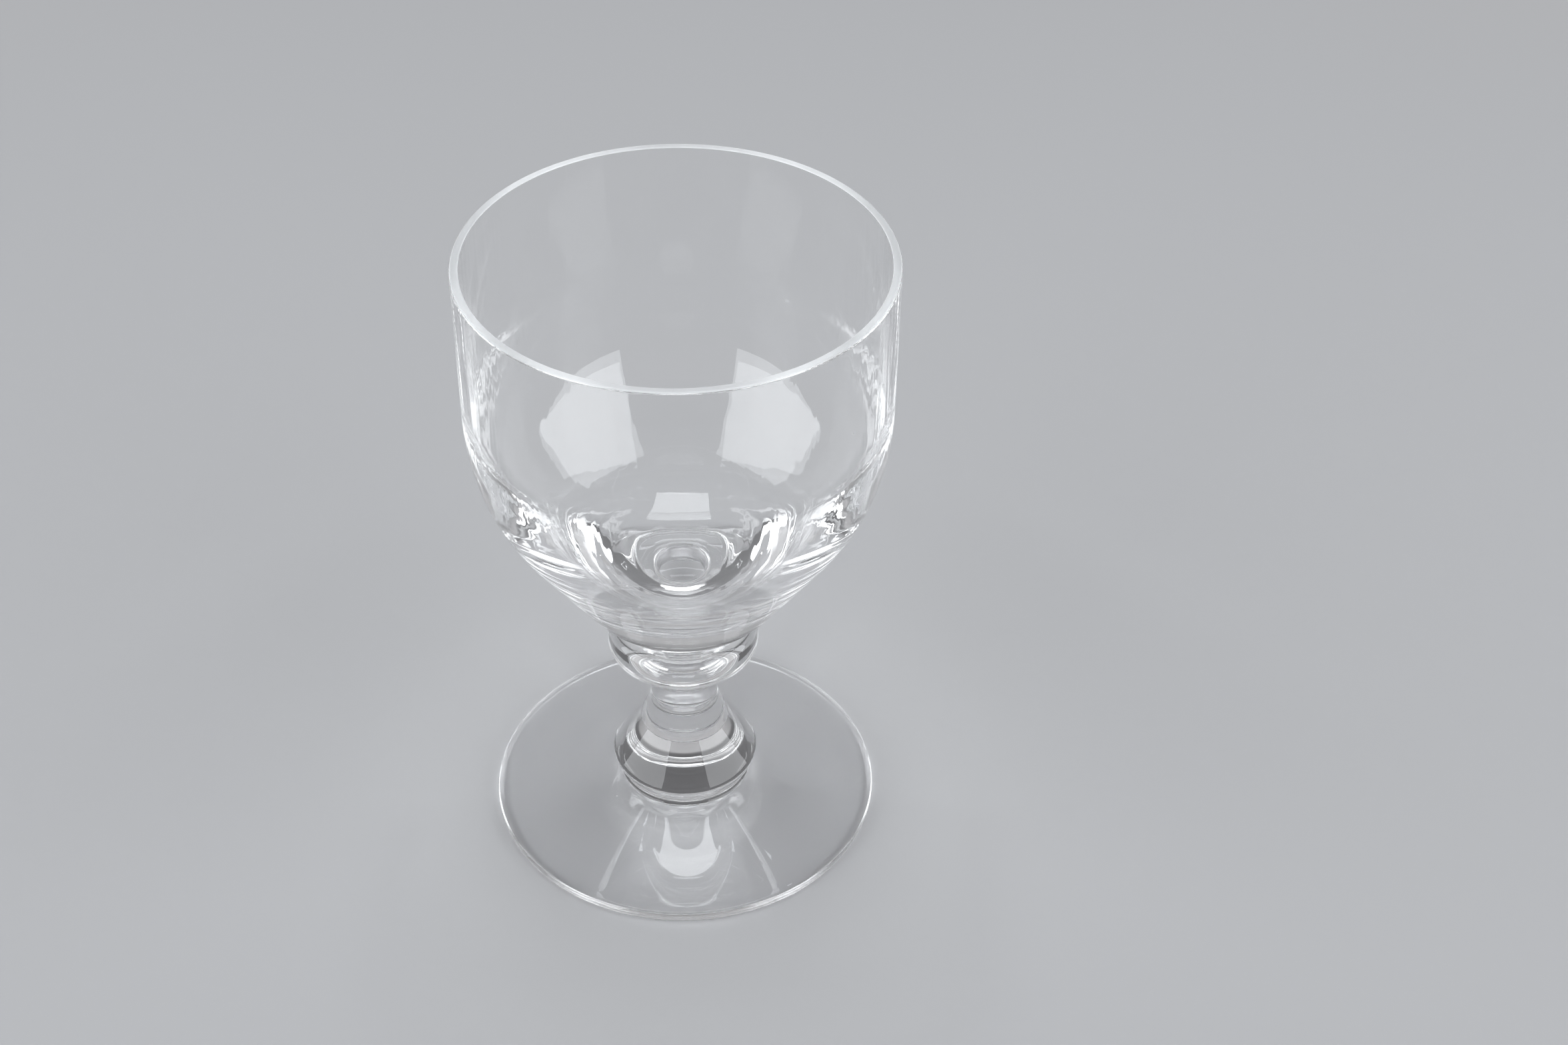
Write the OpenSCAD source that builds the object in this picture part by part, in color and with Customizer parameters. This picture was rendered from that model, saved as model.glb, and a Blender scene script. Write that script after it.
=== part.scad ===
// A wine rummer: a short-stemmed drinking glass with a bucket bowl, a collar
// under the bowl, a bladed knop and a wide round foot, worked as one piece.
// The origin is at the centre of the circle it stands on, with +Z up.

/* [Overall] */
// Height from the table to the lip
total_h = 120; // [112:1:136]
// Outside diameter of the bowl at the lip
rim_d = 73; // [68:0.5:80]

/* [Bowl] */
// Thickness of the wall at the lip
wall = 1.5; // [1.2:0.1:2]
// Radius of the lip's outer edge, beside its flat ground top
lip_out_r = 0.45; // [0.3:0.05:0.6]
// Radius of the lip's inner edge
lip_in_r = 0.2; // [0.1:0.05:0.4]
// Thickness of the glass between the waist and the floor of the bowl
floor_t = 11.7; // [9:0.1:15]
// Height above the shoulder's top at which the inside starts to turn in
turn_lift = 5.3; // [4:0.1:7]
// Radius of that turn
turn_r = 50; // [44:1:56]
// Lean of the inside at the end of that turn, measured from upright
turn_lean = 40; // [35:1:46]
// Pull of the turn on the round that follows it, as a multiple of its drop
turn_pull = 2.3; // [1.8:0.1:2.8]
// Pull of the flat floor on that round, as a multiple of its reach
floor_pull = 1.2; // [0.9:0.05:1.5]
// Lean of the straight flank under the shoulder, measured from upright
flank_lean = 33; // [30:0.5:36]
// Radius of the shoulder curve between the upright wall and the flank
shoulder_r = 42; // [32:1:50]
// Radius of the curve that turns the flank in towards the collar
base_r = 26; // [18:1:30]
// Lean of the outside where it ends at the waist, measured from upright
base_lean = 59; // [54:1:64]

/* [Collar] */
// Largest diameter of the collar
collar_d = 27.5; // [25.5:0.1:29]
// Depth that the collar's round side stands out
collar_round = 2.7; // [2.2:0.1:3.2]
// Height of the collar above its widest line
collar_up = 4; // [3:0.1:5]
// Height of the collar below its widest line
collar_down = 2.5; // [2:0.1:3.2]
// Height of the hollow waist between the collar and the bowl
waist_h = 2.2; // [1.4:0.1:3]
// Depth of that hollow
waist_cut = 0.6; // [0.3:0.05:0.9]

/* [Neck] */
// Diameter of the neck at its thinnest
neck_d = 12.4; // [10.5:0.1:13]
// Height of the neck, from the ring to the collar
neck_h = 12.9; // [9:0.1:16]
// Radius of the fillet under the collar
neck_fillet = 2.4; // [1.5:0.1:3]
// Widening of the neck's radius where it lands on the ring
neck_flare = 0.45; // [0.2:0.05:0.7]
// Height over which that widening fades out
neck_flare_h = 4.3; // [3:0.1:5.5]

/* [Ring] */
// Height of the ring between the neck and the knop
ring_h = 4.8; // [3.8:0.1:5.8]
// Diameter of the ring at its lower edge
ring_d = 16.4; // [15:0.1:18]
// Radius of the ring's rounded lower edge
ring_edge_r = 0.4; // [0.25:0.05:0.6]
// Angle below level from which that edge is rounded, above its undercut
ring_under = 60; // [45:5:75]

/* [Knop] */
// Largest diameter of the knop, at its blade
knop_d = 27.1; // [24.5:0.1:29]
// Height of the knop's upper cone, from the blade to the ring
knop_up = 7.8; // [6:0.1:10]
// Height of the knop's lower side, from the foot to the blade
knop_down = 4.7; // [3.5:0.1:6]
// Diameter of the knop at its narrowest, just above the foot
knop_seat_d = 24.2; // [22.6:0.1:25]
// Radius of the fillet between the knop and the foot
knop_fillet = 1.1; // [0.6:0.1:1.6]
// Outward bow of the knop's lower side
knop_belly = 0.25; // [0.1:0.05:0.4]
// Radius of the round that runs from the upper cone out to the blade
blade_r = 2.2; // [1.4:0.1:2.6]
// Rise of that round where it meets the blade, measured from upright
blade_lean = 14; // [6:1:22]

/* [Foot] */
// Diameter of the foot
foot_d = 72.1; // [66:0.1:80]
// Thickness of the foot at its edge
foot_edge = 2.1; // [1.6:0.1:3]
// Height of the foot's top where the knop lands on it
foot_mid = 5.6; // [4.6:0.1:7]
// Sag of the foot's top between the knop and the edge
foot_sag = 0.35; // [0.1:0.05:0.6]
// Hollow under the foot, at its middle
foot_hollow = 1.4; // [0.6:0.1:2]
// Width of the flat band that the foot stands on
foot_rest = 3.2; // [2:0.1:6]

/* [Hidden] */
rim_r = rim_d / 2;
lip_out = rim_r - lip_out_r;
lip_in = rim_r - wall + lip_in_r;
neck_r = neck_d / 2;
ring_top_r = neck_r + neck_flare;
ring_in = ring_d / 2 - ring_edge_r;
edge_r = foot_edge / 2;
foot_r = foot_d / 2;
rest_out = foot_r - edge_r;
rest_in = rest_out - foot_rest;
under_bow = foot_hollow / 4;
blade_in = knop_d / 2 - blade_r * cos(blade_lean);
collar_in = collar_d / 2 - collar_round;

// Heights, stacked from the table up
blade_z = foot_mid + knop_down;
ring_z = blade_z + knop_up;
neck_z = ring_z + ring_h;
collar_z = neck_z + neck_h + collar_down;
waist_z = collar_z + collar_up;
base_z = waist_z + waist_h;

// Fillet between the knop and the foot, from the fall of the foot's top
// round to the lean of the knop's lower side
seat_r = knop_seat_d / 2;
foot_run = foot_r - seat_r;
foot_fall = atan((foot_mid - foot_edge) / foot_run) + atan(4 * foot_sag / foot_run);
knop_under = atan((knop_d / 2 - seat_r) / knop_down) + atan(4 * knop_belly / knop_down);
seat_c = [seat_r + knop_fillet, foot_mid + knop_fillet];
foot_in = seat_c - knop_fillet * [sin(foot_fall), cos(foot_fall)];
knop_in = seat_c + knop_fillet * [-cos(knop_under), sin(knop_under)];

// Corners of the outline, and the middles of its small rounds
foot_c = [rest_out, edge_r];
blade = [knop_d / 2, blade_z];
blade_c = [blade_in, blade_z - blade_r * sin(blade_lean)];
ring_seat = [ring_in, ring_z];
ring_c = [ring_in, ring_z + ring_edge_r];
ring_top = [ring_top_r, neck_z];
fillet_c = [neck_r + neck_fillet, collar_z - collar_down - neck_fillet];
collar_c = [collar_in, collar_z];

// Outside of the bowl: base curve, flank and shoulder run into each other
base_c = [collar_in - base_r * cos(base_lean), base_z + base_r * sin(base_lean)];
flank_end = base_c + base_r * [cos(flank_lean), -sin(flank_lean)];
shoulder_in = rim_r - shoulder_r * (1 - cos(flank_lean));
flank_l = (shoulder_in - flank_end[0]) / sin(flank_lean);
flank_up = flank_l * cos(flank_lean) + shoulder_r * sin(flank_lean);
shoulder_c = [rim_r - shoulder_r, flank_end[1] + flank_up];

// Inside of the bowl: a turn in from the upright wall, then a round to the floor
floor_z = base_z + floor_t;
turn_c = [rim_r - wall - turn_r, shoulder_c[1] + turn_lift];
turn_end = turn_c + turn_r * [cos(turn_lean), -sin(turn_lean)];
floor_drop = turn_end[1] - floor_z;
floor_enter = turn_pull * floor_drop * [-tan(turn_lean), -1];
floor_arrive = floor_pull * turn_end[0] * [-1, 0];

// Steps along the round stretches that change over at a shared point
collar_step = 6;
flare_steps = 8;

// Points along an oval arc about [r, z], from angle a to angle b
function oval(c, rr, rz, a, b, n) =
    [for (i = [0:n]) let (t = a + (b - a) * i / n) c + [rr * cos(t), rz * sin(t)]];

// Points along a round arc about [r, z]
function arc(c, r, a, b, n) = oval(c, r, r, a, b, n);

// Points after p on the curve to q that leaves along u and arrives along w
function curve(p, q, u, w, n) =
    [for (i = [1:n]) let (t = i / n)
        p + (q - p) * t * t * (3 - 2 * t) + u * t * (1 - t) * (1 - t) - w * t * t * (1 - t)];

// Angle at which a straight side that runs up to q leaves the round about c
function leave(c, r, q) = atan2(c[0] - q[0], q[1] - c[1]) + asin(r / norm(q - c));

// Point where a straight side that runs up to q leaves the round about c
function left_at(c, r, q) = c + r * [cos(leave(c, r, q)), sin(leave(c, r, q))];

// Points between p and q on a line that bows out by rise at its middle
function bow(p, q, rise, n) =
    let (out = [p[1] - q[1], q[0] - p[0]] / norm(q - p))
    [for (i = [1:n - 1]) let (t = i / n) p + t * (q - p) - out * rise * 4 * t * (1 - t)];

// Underside with its shallow hollow, the flat band and the rounded edge
function foot_side() = concat(
    [[0, foot_hollow]],
    bow([0, foot_hollow], [rest_in, 0], -under_bow, 12),
    [[rest_in, 0]],
    arc(foot_c, edge_r, -90, leave(foot_c, edge_r, foot_in), 14)
);

// From the foot's top up the knop to the lower edge of the ring
function knop_side() = concat(
    bow(left_at(foot_c, edge_r, foot_in), foot_in, -foot_sag, 10),
    arc(seat_c, knop_fillet, 270 - foot_fall, 180 - knop_under, 10),
    bow(knop_in, blade, knop_belly, 6),
    arc(blade_c, blade_r, blade_lean, leave(blade_c, blade_r, ring_seat), 10),
    [ring_seat]
);

// Point on the neck's foot, which narrows from the ring up, at t from 0 to 1
function flare_at(t) = [neck_r + neck_flare * pow(1 - t, 3), neck_z + neck_flare_h * t];

// Ring and neck, and the fillet under the collar
function neck_side() = concat(
    arc(ring_c, ring_edge_r, -ring_under, leave(ring_c, ring_edge_r, ring_top), 8),
    [for (i = [0:flare_steps]) flare_at(i / flare_steps)],
    arc(fillet_c, neck_fillet, 180, 90, 10)
);

// Collar and the hollow waist above it
function collar_side() = concat(
    oval(collar_c, collar_round, collar_down, -90, 0, 12),
    oval(collar_c, collar_round, collar_up, collar_step, 90, 14),
    bow([collar_in, waist_z], [collar_in, base_z], -waist_cut, 8)
);

// Outside of the bowl up to the flat top of the lip
function bowl_outside() = concat(
    arc(base_c, base_r, -base_lean, -flank_lean, 12),
    arc(shoulder_c, shoulder_r, -flank_lean, 0, 16),
    arc([lip_out, total_h - lip_out_r], lip_out_r, 0, 90, 8)
);

// Inside of the bowl from the lip down to the middle of its floor
function bowl_inside() = concat(
    arc([lip_in, total_h - lip_in_r], lip_in_r, 90, 180, 6),
    arc(turn_c, turn_r, 0, -turn_lean, 20),
    curve(turn_end, [0, floor_z], floor_enter, floor_arrive, 24)
);

module rummer() {
    color([0.86, 0.89, 0.92, 0.45])
    rotate_extrude($fn = 120)
    polygon(concat(
        foot_side(),
        knop_side(),
        neck_side(),
        collar_side(),
        bowl_outside(),
        bowl_inside()
    ));
}

rummer();
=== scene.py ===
import math
import random

import bpy
from mathutils import Matrix, Vector


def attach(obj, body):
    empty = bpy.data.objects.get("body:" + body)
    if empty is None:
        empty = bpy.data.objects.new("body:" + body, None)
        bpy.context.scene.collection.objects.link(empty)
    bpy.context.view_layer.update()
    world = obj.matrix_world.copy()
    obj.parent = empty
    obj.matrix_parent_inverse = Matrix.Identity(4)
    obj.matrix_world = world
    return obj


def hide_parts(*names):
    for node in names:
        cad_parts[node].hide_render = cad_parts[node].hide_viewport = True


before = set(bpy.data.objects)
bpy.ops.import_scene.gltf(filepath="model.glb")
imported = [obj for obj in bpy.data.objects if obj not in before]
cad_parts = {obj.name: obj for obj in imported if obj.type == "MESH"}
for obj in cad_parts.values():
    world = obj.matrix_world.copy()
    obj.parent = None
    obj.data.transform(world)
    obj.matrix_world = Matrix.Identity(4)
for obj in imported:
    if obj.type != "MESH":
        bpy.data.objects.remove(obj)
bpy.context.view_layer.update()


# Camera. It stands in front of the glass and above it, and looks down at about
# 40 degrees, so the lip shows as an open oval and the foot as a full round.
camera_lens = 53.18
camera_sensor = 36
camera_near = 0.01
camera_stand = (0.01811, -0.31419, 0.32549)
camera_down = math.radians(39.63)
camera_roll = math.radians(1.05)

camera_data = bpy.data.cameras.new("camera")
camera_data.sensor_width = camera_sensor
camera_data.lens = camera_lens
camera_data.clip_start = camera_near
camera = bpy.data.objects.new("camera", camera_data)
camera_tilt = Matrix.Rotation(math.pi / 2 - camera_down, 4, "X")
camera_turn = Matrix.Rotation(camera_roll, 4, "Z")
camera.matrix_world = Matrix.Translation(camera_stand) @ camera_tilt @ camera_turn
bpy.context.scene.collection.objects.link(camera)
bpy.context.scene.camera = camera


# The rummer: one piece of clear glass, gathered and blown hot, its knop, ring
# and collar tooled at the chair, its foot spread flat, and its lip ground level
# when cold. Its section comes from the solid, and is turned here once more.
on_axis = 1e-6
section_digits = 7
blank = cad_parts["rummer"].data
links_at = {}
for edge in blank.edges:
    a, b = (blank.vertices[i].co for i in edge.vertices)
    if max(abs(a.y), abs(b.y)) < on_axis and min(a.x, b.x) > -on_axis:
        p = (round(a.x, section_digits), round(a.z, section_digits))
        q = (round(b.x, section_digits), round(b.z, section_digits))
        if p != q:
            links_at.setdefault(p, set()).add(q)
            links_at.setdefault(q, set()).add(p)

# The outline runs from the middle of the foot's hollow, out and up to the lip,
# and down the inside to the middle of the bowl's floor.
outline = [min((p for p in links_at if p[0] < on_axis), key=lambda p: p[1])]
while True:
    onward = [p for p in links_at[outline[-1]] if p not in outline]
    if not onward:
        break
    here = Vector(outline[-1])
    outline.append(min(onward, key=lambda p: (Vector(p) - here).length))
outline = [Vector(p) for p in outline]

# Fire and tools leave no flats on a round, so each short side bends evenly from
# corner to corner, and only the true corners stay.
true_corner = math.radians(30)
finest_turn = math.radians(5)
longest_step = 0.0016
sides = [q - p for p, q in zip(outline[:-1], outline[1:])]
turns = [-s.angle_signed(t) for s, t in zip(sides[:-1], sides[1:])]
turns = [0.0] + turns + [0.0]


def share(corner, own, other):
    """Part of a corner's turn that the side named own takes, or None at a true corner."""
    if other is None or abs(turns[corner]) > true_corner:
        return None
    return turns[corner] * other.length / (own.length + other.length)


def bent(p, side, first, last, t):
    """Point at t along a side that leaves and meets its corners at these angles."""
    away = Matrix.Rotation(-first, 2) @ side
    home = Matrix.Rotation(last, 2) @ side
    leaving = t**3 - 2 * t**2 + t
    going = 3 * t**2 - 2 * t**3
    coming = t**3 - t**2
    return p + away * leaving + side * going + home * coming


rows = [outline[0]]
for i, side in enumerate(sides):
    first = share(i, side, sides[i - 1] if i else None)
    last = share(i + 1, side, sides[i + 1] if i + 1 < len(sides) else None)
    if first is None and last is None:
        first = last = 0.0
    elif first is None:
        first = last
    elif last is None:
        last = first
    by_turn = math.ceil(abs(first + last) / finest_turn)
    steps = max(1, by_turn, math.ceil(side.length / longest_step))
    rows += [bent(outline[i], side, first, last, k / steps) for k in range(1, steps + 1)]

# The skin sinks by about a hundredth of a millimetre: in upright waves where the
# bubble was blown, and in soft rings where tools touched the turning glass.
columns = 200
skin_sink = 0.000012
inside_share = 0.3
tooled_below = 0.078
blown_above = 0.100
wave_counts = (2, 3, 5, 7, 9, 11)
wave_drift = (20, 90)
wave_number = 9
ring_pitch = (700, 1250)
ring_counts = (1, 1, 2, 3)
ring_number = 6
ring_wander = 0.1
foot_even = 0.0035
full_turn = 2 * math.pi
skin_seed = 11
luck = random.Random(skin_seed)
waves = []
for _ in range(wave_number):
    waves.append((luck.choice(wave_counts), luck.uniform(*wave_drift), luck.uniform(0, full_turn)))
rings = []
for _ in range(ring_number):
    rings.append((luck.uniform(*ring_pitch), luck.choice(ring_counts), luck.uniform(0, full_turn)))


def sink(angle, height, along):
    """How far the skin lies inside the true round at an angle, a height and a way along."""
    blown = min(1.0, max(0.0, (height - tooled_below) / (blown_above - tooled_below)))
    wave = sum(math.sin(count * angle + drift * height + start) for count, drift, start in waves)
    ring = 0.0
    for pitch, count, start in rings:
        ring += math.sin(pitch * along + start + ring_wander * math.sin(count * angle + start))
    mixed = blown * wave / wave_number + (1 - blown) * ring / ring_number
    if height < foot_even:
        mixed = 0.0
    return skin_sink * (1 + mixed) / 2


corners = []
faces = []
outside_marks = []
previous = None
along = 0.0
top_row = max(range(len(rows)), key=lambda i: rows[i].y)
for i, p in enumerate(rows):
    before = rows[max(i - 1, 0)]
    after = rows[min(i + 1, len(rows) - 1)]
    run = (after - before).normalized()
    out = Vector((run.y, -run.x))
    along += (p - before).length
    outer = i <= top_row
    depth = 1.0 if outer else inside_share
    if p.x < on_axis:
        ring = [len(corners)] * columns
        corners.append((0.0, 0.0, p.y - out.y * skin_sink / 2 * depth))
        outside_marks.append(float(outer))
    else:
        ring = list(range(len(corners), len(corners) + columns))
        for k in range(columns):
            angle = full_turn * k / columns
            q = p - out * sink(angle, p.y, along) * depth
            corners.append((q.x * math.cos(angle), q.x * math.sin(angle), q.y))
            outside_marks.append(float(outer))
    if previous:
        for k in range(columns):
            n = (k + 1) % columns
            face = [previous[k], previous[n], ring[n], ring[k]]
            faces.append(tuple(dict.fromkeys(face)))
    previous = ring

rummer_mesh = bpy.data.meshes.new("blown_rummer")
rummer_mesh.from_pydata(corners, [], faces)
rummer_mesh.update()
rummer_mesh.shade_smooth()
rummer_mesh.set_sharp_from_angle(angle=true_corner)
side_mark = rummer_mesh.attributes.new("outside", "FLOAT", "POINT")
side_mark.data.foreach_set("value", outside_marks)
rummer = bpy.data.objects.new("blown_rummer", rummer_mesh)
bpy.context.scene.collection.objects.link(rummer)

# Clear glass. Its skin is fire-bright, with a few smudges and specks. The outside
# carries upright streaks in the blown wall and fine rings below the bowl.
glass_bend = 1.54
glass_clear = (1.0, 1.0, 1.0, 1.0)
glass_see_through = 1.0
smudge_roughness = 0.025
smudge_scale = 55.0
smudge_detail = 1.0
smudge_from = 0.60
smudge_full = 0.78
unrolled_scale = 1.0
streaks_round = 19.0
streaks_high = 45.0
streak_detail = 1.0
streak_waver = 0.4
streak_depth = 0.000028
streaks_from = 0.076
streaks_full = 0.096
rings_fine = 520.0
rings_detail = 0.0
rings_height = 1.6
rings_full = 0.056
rings_none = 0.070
speck_scale = 170.0
speck_edge = 0.030
speck_core = 0.012
speck_share = 0.86
speck_roughness = 0.6

glass = bpy.data.materials.new("clear_glass")
glass.use_nodes = True


def add(material, kind, wires=None, **choices):
    """Add a shader node, make its choices, and fill or join its sockets. Gives the node."""
    node = material.node_tree.nodes.new("ShaderNode" + kind)
    for name, choice in choices.items():
        setattr(node, name, choice)
    for socket, value in (wires or {}).items():
        if isinstance(value, bpy.types.NodeSocket):
            material.node_tree.links.new(value, node.inputs[socket])
        else:
            node.inputs[socket].default_value = value
    return node


def figure(operation, a, b):
    """Arithmetic on two numbers or sockets of the glass."""
    return add(glass, "Math", {0: a, 1: b}, operation=operation).outputs[0]


def fade(value, start, end):
    """Soft step of a socket of the glass, from 0 at start to 1 at end."""
    wires = {"Value": value, "From Min": start, "From Max": end}
    return add(glass, "MapRange", wires, interpolation_type="SMOOTHSTEP").outputs["Result"]


place = add(glass, "TexCoord").outputs["Object"]
split = add(glass, "SeparateXYZ", {0: place}).outputs
height = split["Z"]
level = add(glass, "CombineXYZ", {"X": split["X"], "Y": split["Y"]}).outputs[0]
facing = add(glass, "VectorMath", {0: level}, operation="NORMALIZE").outputs["Vector"]


def wrapped(around, upward):
    """Place on the glass, unrolled round its axis at these scales."""
    ring = add(glass, "VectorMath", {0: facing, "Scale": around}, operation="SCALE").outputs["Vector"]
    rise = add(glass, "CombineXYZ", {"Z": figure("MULTIPLY", height, upward)}).outputs[0]
    return add(glass, "VectorMath", {0: ring, 1: rise}, operation="ADD").outputs["Vector"]


streaks = add(glass, "TexNoise", {
    "Vector": wrapped(streaks_round, streaks_high), "Scale": unrolled_scale,
    "Detail": streak_detail, "Distortion": streak_waver,
}).outputs["Fac"]
tool_rings = add(glass, "TexNoise", {
    "W": figure("MULTIPLY", height, rings_fine), "Scale": unrolled_scale, "Detail": rings_detail,
}, noise_dimensions="1D").outputs["Fac"]
smudges = add(glass, "TexNoise", {
    "Vector": place, "Scale": smudge_scale, "Detail": smudge_detail}).outputs["Fac"]
motes = add(glass, "TexVoronoi", {"Vector": place, "Scale": speck_scale}).outputs
mote_kind = add(glass, "SeparateColor", {0: motes["Color"]}).outputs[0]

outside = add(glass, "Attribute", attribute_name="outside").outputs["Fac"]
blown_part = figure("MULTIPLY", fade(height, streaks_from, streaks_full), outside)
tooled_part = figure("MULTIPLY", fade(height, rings_none, rings_full), outside)
speck_chosen = figure("GREATER_THAN", mote_kind, speck_share)
speck_part = figure("MULTIPLY", speck_chosen, fade(motes["Distance"], speck_edge, speck_core))

drawn = figure("MULTIPLY", streaks, blown_part)
turned = figure("MULTIPLY", figure("MULTIPLY", tool_rings, rings_height), tooled_part)
skin = add(glass, "Bump", {"Distance": streak_depth, "Height": figure("ADD", drawn, turned)})
smudged = figure("MULTIPLY", fade(smudges, smudge_from, smudge_full), smudge_roughness)
specked = figure("MULTIPLY", speck_part, speck_roughness)
body = glass.node_tree.nodes["Principled BSDF"]
body.inputs["Base Color"].default_value = glass_clear
body.inputs["Transmission Weight"].default_value = glass_see_through
body.inputs["IOR"].default_value = glass_bend
glass.node_tree.links.new(figure("MAXIMUM", smudged, specked), body.inputs["Roughness"])
glass.node_tree.links.new(skin.outputs[0], body.inputs["Normal"])
rummer_mesh.materials.append(glass)

# The lip is ground flat and left satin, so it catches the light all the way
# round. The wheel's fine grain mottles it, and its two edges are eased.
lip_roughness = (0.28, 0.42)
lip_frost = (0.45, 0.65)
lip_grain_scale = 900.0
lip_grain_detail = 2.0
lip_grain_depth = 0.00001
lip_white = (0.93, 0.94, 0.95, 1.0)
lip_ease = 0.00016
lip = bpy.data.materials.new("ground_lip")
lip.use_nodes = True
lip_place = add(lip, "TexCoord").outputs["Object"]
lip_grain = add(lip, "TexNoise", {
    "Vector": lip_place, "Scale": lip_grain_scale, "Detail": lip_grain_detail}).outputs["Fac"]
lip_dull = add(lip, "MapRange", {
    "Value": lip_grain, "To Min": lip_roughness[0], "To Max": lip_roughness[1]})
lip_clear = add(lip, "MapRange", {
    "Value": lip_grain, "To Min": lip_frost[1], "To Max": lip_frost[0]})
lip_bump = add(lip, "Bump", {"Distance": lip_grain_depth, "Height": lip_grain})
lip_body = lip.node_tree.nodes["Principled BSDF"]
lip_body.inputs["Base Color"].default_value = lip_white
lip_body.inputs["IOR"].default_value = glass_bend
lip.node_tree.links.new(lip_dull.outputs["Result"], lip_body.inputs["Roughness"])
lip.node_tree.links.new(lip_clear.outputs["Result"], lip_body.inputs["Transmission Weight"])
lip.node_tree.links.new(lip_bump.outputs[0], lip_body.inputs["Normal"])
rummer_mesh.materials.append(lip)
lip_index = rummer_mesh.materials.find("ground_lip")
for face in rummer_mesh.polygons:
    if min(rummer_mesh.vertices[v].co.z for v in face.vertices) > rows[top_row].y - lip_ease:
        face.material_index = lip_index

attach(rummer, "root")
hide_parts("rummer")


# Table top: a plain, matt, painted board that lies a hair below the foot, as
# glass never touches a board all over. Part of its paleness is its own glow in
# the view, and away from the glass it runs evenly into the pale backdrop.
board_half = 4.0
board_top = -0.00003
board_colour = (0.46, 0.46, 0.47, 1.0)
board_roughness = 0.9
board_shine = 0.1
board_glow = 0.10
board_near = 0.30
board_plain = 0.60
board_corners = [(-1, -1), (1, -1), (1, 1), (-1, 1)]
board_mesh = bpy.data.meshes.new("table_top")
board_mesh.from_pydata(
    [(x * board_half, y * board_half, board_top) for x, y in board_corners], [], [(0, 1, 2, 3)])
board = bpy.data.objects.new("table_top", board_mesh)
bpy.context.scene.collection.objects.link(board)

paint = bpy.data.materials.new("pale_paint")
paint.use_nodes = True
coat = paint.node_tree.nodes["Principled BSDF"]
coat.inputs["Base Color"].default_value = board_colour
coat.inputs["Roughness"].default_value = board_roughness
coat.inputs["Specular IOR Level"].default_value = board_shine
coat.inputs["Emission Color"].default_value = board_colour
sight = add(paint, "LightPath").outputs
seen = add(paint, "Math", {0: sight["Is Camera Ray"], 1: sight["Is Glossy Ray"]}, operation="MAXIMUM")
seen = add(paint, "Math", {0: seen.outputs[0], 1: sight["Is Transmission Ray"]}, operation="MAXIMUM")
glow = add(paint, "Math", {0: seen.outputs[0], 1: board_glow}, operation="MULTIPLY")
paint.node_tree.links.new(glow.outputs[0], coat.inputs["Emission Strength"])
board_place = add(paint, "TexCoord").outputs["Object"]
board_way = add(paint, "VectorMath", {0: board_place}, operation="LENGTH").outputs["Value"]
board_far = add(paint, "MapRange", {
    "Value": board_way, "From Min": board_near, "From Max": board_plain,
}, interpolation_type="SMOOTHSTEP").outputs["Result"]
plain_part = add(paint, "Math", {0: board_far, 1: seen.outputs[0]}, operation="MULTIPLY").outputs[0]
plain_tone = add(paint, "Emission", {"Color": board_colour}).outputs[0]
board_mix = add(paint, "MixShader", {0: plain_part, 1: coat.outputs[0], 2: plain_tone}).outputs[0]
paint_end = paint.node_tree.nodes["Material Output"]
paint.node_tree.links.new(board_mix, paint_end.inputs["Surface"])
board_mesh.materials.append(paint)


# Light. A wide soft box stands on each side of the camera, and a smaller one
# hangs behind the glass. The room fades from pale at the horizon to dim above.
lamp_colour = (0.95, 0.98, 1.0)


def soft_box(name, place, outward, wide, tall, glow):
    """A soft box at a place, whose back looks outward, and that glows the other way."""
    lamp = bpy.data.lights.new(name, "AREA")
    lamp.shape = "RECTANGLE"
    lamp.size = wide
    lamp.size_y = tall
    lamp.energy = glow * math.pi * wide * tall
    lamp.color = lamp_colour
    box = bpy.data.objects.new(name, lamp)
    aim = outward.to_track_quat("Z", "Y").to_matrix().to_4x4()
    box.matrix_world = Matrix.Translation(place) @ aim
    box.visible_camera = False
    bpy.context.scene.collection.objects.link(box)


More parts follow.
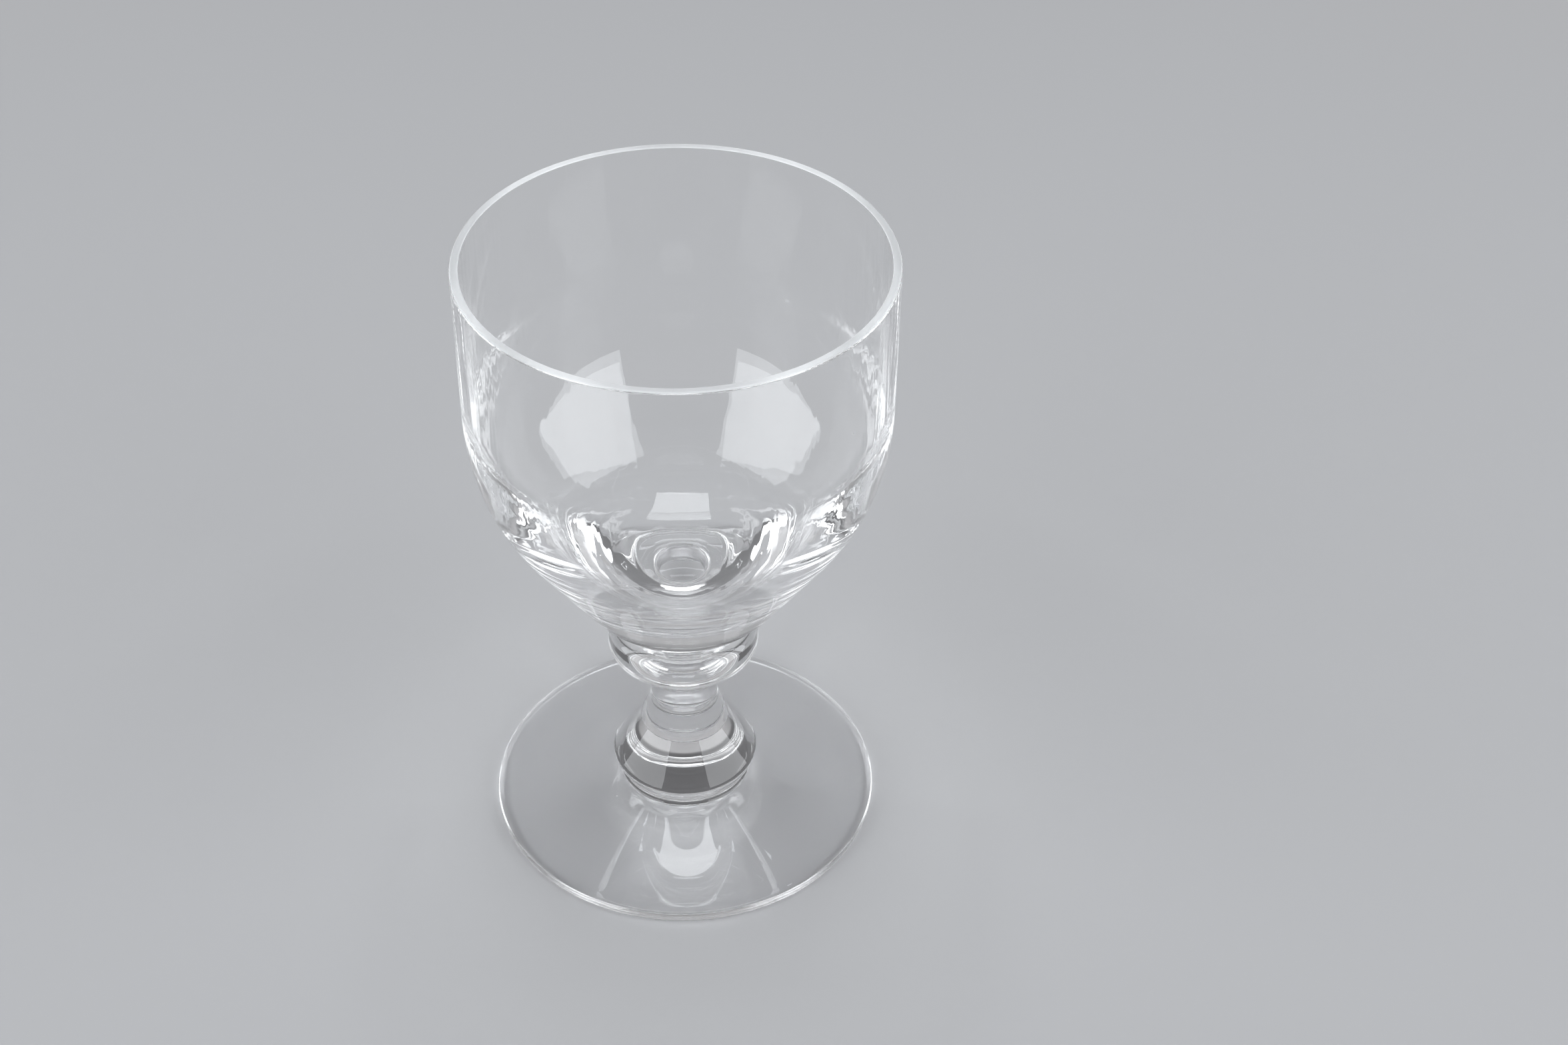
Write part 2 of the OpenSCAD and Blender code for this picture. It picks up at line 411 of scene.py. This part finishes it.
# For each side box: the way round the glass at which it stands square to it, and
# the ways at which it ends near the camera and far from it, all in degrees.
side_distance = 0.80
side_low = 0.06
side_high = 0.93
side_glow = 3.0
side_boxes = {"left_soft_box": (-42, -31.4, -97), "right_soft_box": (48, 37.4, 102)}
for name, angles in side_boxes.items():
    square_to, near_end, far_end = (math.radians(a) for a in angles)
    outward = Vector((math.sin(square_to), -math.cos(square_to), 0))
    level_way = Vector((math.cos(square_to), math.sin(square_to), 0))
    ends = [side_distance * math.tan(end - square_to) for end in (near_end, far_end)]
    middle = Vector((0, 0, (side_low + side_high) / 2))
    middle += outward * side_distance + level_way * sum(ends) / 2
    soft_box(name, middle, outward, abs(ends[1] - ends[0]), side_high - side_low, side_glow)

# The back box hangs level, and glows straight down.
back_place = Vector((-0.0136, 0.27, 0.90))
back_outward = Vector((0, 0, 1))
back_wide = 0.34
back_deep = 0.45
back_glow = 5.0
soft_box("back_soft_box", back_place, back_outward, back_wide, back_deep, back_glow)

# The room is lit evenly near the horizon and below it, and is dim overhead.
room = bpy.data.worlds.new("room")
room.use_nodes = True
bpy.context.scene.world = room
room_low = 0.24
room_high = 0.60
room_pale = (0.46, 0.46, 0.47, 1.0)
room_dim = (0.12, 0.12, 0.125, 1.0)
way = add(room, "TexCoord").outputs["Generated"]
rise = add(room, "SeparateXYZ", {0: way}).outputs["Z"]
tones = add(room, "ValToRGB", {0: rise})
tones.color_ramp.elements[0].position = room_low
tones.color_ramp.elements[0].color = room_pale
tones.color_ramp.elements[1].position = room_high
tones.color_ramp.elements[1].color = room_dim
room_light = room.node_tree.nodes["Background"]
room.node_tree.links.new(tones.outputs["Color"], room_light.inputs["Color"])


# View: colours as they are written, enough bounces for the light that travels
# inside the wall and the stem, and no blurring of sharp paths, which would
# darken the board that is seen through the foot.
most_bounces = 96
path_blur = 0.0
bpy.context.scene.view_settings.view_transform = "Standard"
bpy.context.scene.cycles.max_bounces = most_bounces
bpy.context.scene.cycles.transmission_bounces = most_bounces
bpy.context.scene.cycles.glossy_bounces = most_bounces
bpy.context.scene.cycles.blur_glossy = path_blur
